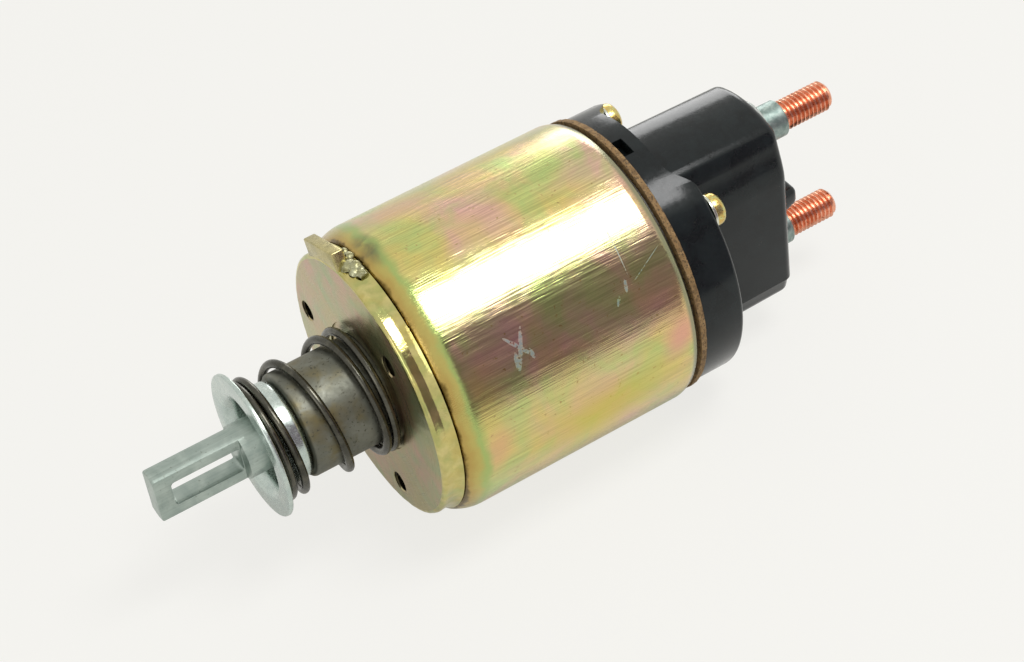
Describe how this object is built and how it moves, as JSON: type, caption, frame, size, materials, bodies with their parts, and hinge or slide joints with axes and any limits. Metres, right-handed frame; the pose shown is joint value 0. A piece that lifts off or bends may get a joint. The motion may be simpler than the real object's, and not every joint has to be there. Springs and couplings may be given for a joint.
{
  "type": "solenoid switch",
  "caption": "Starter solenoid switch: steel can with mounting plate, sprung plunger with slotted link, and a black terminal cap with threaded copper studs.",
  "frame": {"origin": "centre of the mounting face, on the plunger's axis", "axes": "+X from the mounting face towards the studs, +Z from the motor stud towards the battery stud"},
  "size_m": [0.1978, 0.076, 0.0769],
  "materials": {
    "plate_zinc": "yellow chromate zinc plate, pale",
    "weld": "zinc-plated weld bead",
    "can_zinc": "brushed, yellow chromate zinc plate",
    "sleeve_brass": "drawn",
    "bobbin_nylon": "natural nylon",
    "winding_copper": "enamelled copper wire",
    "wrap_paper": "varnished wrap",
    "core_steel": "turned",
    "gasket_fibre": "pressed fibre",
    "cap_moulding": "black phenolic moulding, semi-gloss",
    "stud_copper": "copper",
    "collar_steel": "grey zinc",
    "seal_nylon": "clear nylon",
    "screw_zinc": "yellow chromate zinc plate",
    "washer_zinc": "bright zinc plate",
    "blade_tin": "tinned",
    "spring_steel": "oil hardened",
    "plunger_steel": "ground, matte",
    "link_zinc": "bright zinc plate",
    "seat_zinc": "bright zinc plate",
    "rod_steel": "turned",
    "bush_resin": "phenolic"
  },
  "bodies": {
    "housing": {"front_plate": "plate_zinc", "locating_lug": "plate_zinc", "lug_weld": "weld", "housing_can": "can_zinc", "guide_sleeve": "sleeve_brass", "coil_bobbin": "bobbin_nylon", "pull_in_winding": "winding_copper", "hold_in_winding": "winding_copper", "coil_wrap": "wrap_paper", "stationary_core": "core_steel", "gasket": "gasket_fibre", "terminal_cap": "cap_moulding", "battery_stud": "stud_copper", "motor_stud": "stud_copper", "stud_collars": "collar_steel", "stud_seals": "seal_nylon", "cap_screws": "screw_zinc", "cap_washers": "washer_zinc", "coil_terminal": "blade_tin", "trigger_lead": "winding_copper", "motor_lead": "winding_copper", "return_spring": "spring_steel", "rod_spring": "spring_steel"},
    "return_seat": {"spring_seat": "seat_zinc"},
    "plunger_body": {"plunger": "plunger_steel", "link_collar": "collar_steel", "seat_clip": "spring_steel", "link_spring": "spring_steel"},
    "link": {"slotted_link": "link_zinc"},
    "push_rod": {"contact_rod": "rod_steel", "rod_clip": "rod_steel", "contact_spring": "spring_steel"},
    "bridge": {"contact_disc": "stud_copper", "disc_bush_front": "bush_resin", "disc_bush_rear": "bush_resin"}
  },
  "joints": [
    {"name": "plunger_slide", "type": "slide", "parent": "housing", "child": "return_seat", "axis": [1, 0, 0], "range_m": [0, 0.011], "stiffness_N_per_m": 1500, "springref_m": -0.008, "deforming": ["return_spring"]},
    {"name": "plunger_turn", "type": "hinge", "parent": "return_seat", "child": "plunger_body", "pos_m": [0, 0, 0], "axis": [1, 0, 0], "continuous": true},
    {"name": "link_slide", "type": "slide", "parent": "plunger_body", "child": "link", "axis": [1, 0, 0], "range_m": [-0.006, 0], "stiffness_N_per_m": 1500, "springref_m": 0.004, "deforming": ["link_spring"]},
    {"name": "rod_slide", "type": "slide", "parent": "housing", "child": "push_rod", "axis": [1, 0, 0], "range_m": [0, 0.0045], "deforming": ["rod_spring"]},
    {"name": "bridge_slide", "type": "slide", "parent": "push_rod", "child": "bridge", "axis": [1, 0, 0], "range_m": [-0.0015, 0], "deforming": ["contact_spring"]}
  ],
  "couplings": [
    {"joint": "rod_slide", "follows": "plunger_slide", "ratio": 0.409},
    {"joint": "bridge_slide", "follows": "plunger_slide", "ratio": -0.1363}
  ]
}
